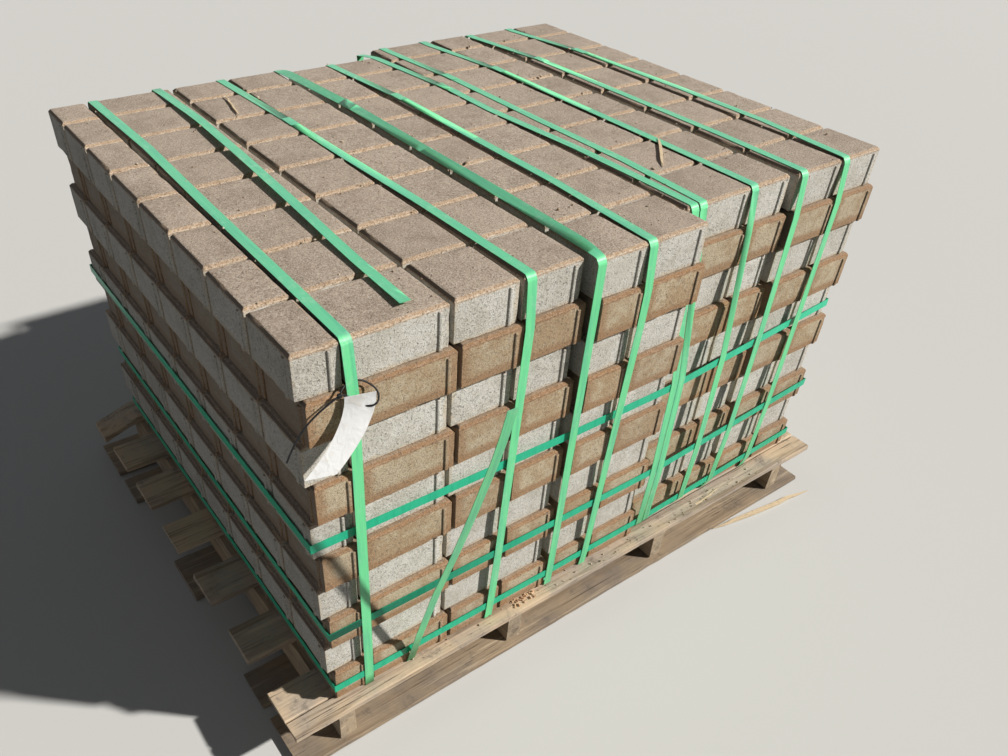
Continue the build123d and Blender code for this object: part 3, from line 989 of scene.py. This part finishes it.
crumbs = make_crumbs("grit", [((-0.67, 0.70), (-0.53, 0.53), TOP, 700, 0.0026),
                              ((-0.50, 0.60), (-0.588, -0.560), DECK, 140, 0.0030),
                              ((-0.66, 0.68), (-0.53, 0.50), TOP, 70, 0.0048)],
                     light=(0.62, 0.52, 0.40), dark=(0.26, 0.19, 0.13))
heap = make_crumbs("heap", [((-0.240, -0.175), (-0.582, -0.560), DECK, 70, 0.0046)],
                   light=(0.46, 0.26, 0.14), dark=(0.60, 0.44, 0.28))
print("crumbs:", count_faces([crumbs, heap]), "faces")

# %% [markdown]
# ## Splinters
#
# Slivers of wood lie where they fell: two on the near board, two on the stones and one on the
# ground. A sliver is a cube, stretched and sliced, whose slices shrink towards its ends and
# are shifted by a little, so that it is crooked like a torn fibre.

# %% Splinters
SLIVER_SLICES, SLIVER_TIP = 9, 0.12
SLIVERS = [  # start, end, width, thickness and seed
    ((0.241, -0.586, 0.118), (0.397, -0.575, 0.131), 0.006, 0.003, 3),
    ((0.300, -0.583, 0.120), (0.430, -0.570, 0.131), 0.004, 0.002, 4),
    ((0.223, -0.361, TOP + 0.003), (0.325, -0.247, TOP + 0.003), 0.006, 0.003, 5),
    ((-0.360, 0.297, TOP + 0.003), (-0.335, 0.430, TOP + 0.003), 0.004, 0.003, 6),
    ((0.430, -0.596, 0.003), (0.770, -0.640, 0.003), 0.012, 0.005, 8)]
SPLINTER_PALE, SPLINTER_DARK = (0.72, 0.58, 0.39), (0.42, 0.31, 0.19)


def make_sliver(start, end, width, thickness, seed):
    """A thin crooked sliver that tapers to both ends."""
    dice = random.Random(seed)
    start, end = Vector(start), Vector(end)
    length = (end - start).length
    sliver = bmesh.new()
    add_bar(sliver, (0, 0, 0), (length, width, thickness))
    slice_across(sliver, 0, length / SLIVER_SLICES)
    kinks = {round(v.co.x, 5): (dice.uniform(-1, 1), dice.uniform(-0.2, 0.6))
             for v in sliver.verts}
    for vert in sliver.verts:
        side, lift = kinks[round(vert.co.x, 5)]
        taper = max(SLIVER_TIP, 1 - (abs(vert.co.x) * 2 / length) ** 3)
        vert.co.y = vert.co.y * taper + side * thickness * 0.5
        vert.co.z = vert.co.z * taper + lift * thickness * 0.5
    turn = (end - start).to_track_quat("X", "Z").to_matrix()
    bmesh.ops.rotate(sliver, verts=sliver.verts, cent=(0, 0, 0), matrix=turn)
    bmesh.ops.translate(sliver, verts=sliver.verts, vec=(start + end) / 2)
    return sliver


def make_splinters():
    """All slivers as one piece, with a grain along them."""
    shape = bmesh.new()
    for sliver in SLIVERS:
        join(shape, make_sliver(*sliver))
    s = Surface("splinter_wood", {"Roughness": 0.8})
    grain = s.noise(200, detail=2, stretch=(1, 4, 4))
    colour = s.tinted(SPLINTER_PALE, (SPLINTER_DARK, grain.above(0.4, 0.7)))
    return show(shape, "splinters", s.finish(colour))


splinters = make_splinters()
print("splinters:", count_faces([splinters]), "faces")

# %% [markdown]
# ## Floor
#
# The load stands on a plain pale floor. Seen by the camera the floor is paler than the light
# that it throws back, so it doesn't wash out the shade on the left. A Light Path node tells
# the two apart, and one material does for both.

# %% Floor
FLOOR_SEEN, FLOOR_LIT = (0.56, 0.56, 0.55), (0.17, 0.17, 0.165)
FLOOR_SIZE, FLOOR_DROP = 30, 0.0005


def seen_directly(tree):
    """1 where a ray comes from the camera, a reflection or through glass, else 0."""
    path = add_node(tree, "LightPath", {}, {})
    camera, glossy, through = (Value(tree, path.outputs[f"Is {kind} Ray"])
                               for kind in ("Camera", "Glossy", "Transmission"))
    return camera.combined("MAXIMUM", camera.combined("MAXIMUM", camera, glossy), through)


def make_floor():
    """A wide plane, pale where it is seen and darker where it throws light back."""
    shape = bmesh.new()
    bmesh.ops.create_grid(shape, x_segments=1, y_segments=1, size=FLOOR_SIZE)
    s = Surface("floor", {"Roughness": 0.9})
    colour = s.tinted(FLOOR_LIT, (FLOOR_SEEN, seen_directly(s.tree)))
    floor = add_object("floor", make_mesh(shape, "floor", s.finish(colour)))
    floor.location.z = -FLOOR_DROP
    return floor


floor = make_floor()
print("floor:", round(-floor.location.z * 1000, 1), "mm below the pallet")

# %% [markdown]
# ## Light
#
# One key light comes from the right and the near side, and an even sky fills the shadows. The
# key is a sun lamp, because a lamp at a studio's distance would light the near stones much
# more than the far ones, and its angle makes the shadows soft. It is low enough to reach the
# near face and leaves the left one in shade. The sky is weak, so the joints on top stay dark.
# A small panel low on the left lifts the near left corner, and is too low to shine into them.

# %% Light
KEY_FROM, KEY_DISTANCE = Vector((0.602, -0.533, 0.595)), 5
KEY_ANGLE, KEY_STRENGTH, KEY_COLOUR = math.radians(2), 5.5, (1.0, 0.965, 0.905)
PANEL_PLACE, PANEL_TARGET = Vector((-2.3, -1.9, 1.15)), Vector((-0.68, -0.50, 0.80))
PANEL_SIZE, PANEL_WATTS = 1.0, 1.7
SKY_COLOUR, SKY_STRENGTH = (0.86, 0.89, 0.94), 0.085


def make_lamp(name, kind, place, back, **settings):
    """A lamp at a place, with its back turned to a direction."""
    data = bpy.data.lights.new(name, kind)
    for setting, value in settings.items():
        setattr(data, setting, value)
    lamp = add_object(name, data)
    lamp.location = place
    lamp.rotation_mode = "QUATERNION"
    lamp.rotation_quaternion = back.to_track_quat("Z", "Y")
    return lamp


def make_sky():
    """An even sky that is brighter where it is seen directly or in a reflection."""
    world = bpy.data.worlds.new("sky")
    bpy.context.scene.world = world
    world.use_nodes = True
    tree = world.node_tree
    plain = tree.nodes["Background"]
    plain.inputs["Color"].default_value = (*SKY_COLOUR, 1)
    strength = seen_directly(tree) * (1 - SKY_STRENGTH) + SKY_STRENGTH
    tree.links.new(strength.socket, plain.inputs["Strength"])
    return world


key = make_lamp("key", "SUN", KEY_FROM * KEY_DISTANCE, KEY_FROM,
                angle=KEY_ANGLE, energy=KEY_STRENGTH, color=KEY_COLOUR)
panel = make_lamp("panel", "AREA", PANEL_PLACE, PANEL_PLACE - PANEL_TARGET,
                  shape="SQUARE", size=PANEL_SIZE, energy=PANEL_WATTS)
sky = make_sky()
bpy.context.scene.view_settings.view_transform = "Standard"
print("light:", key.name, panel.name, "and", sky.name)
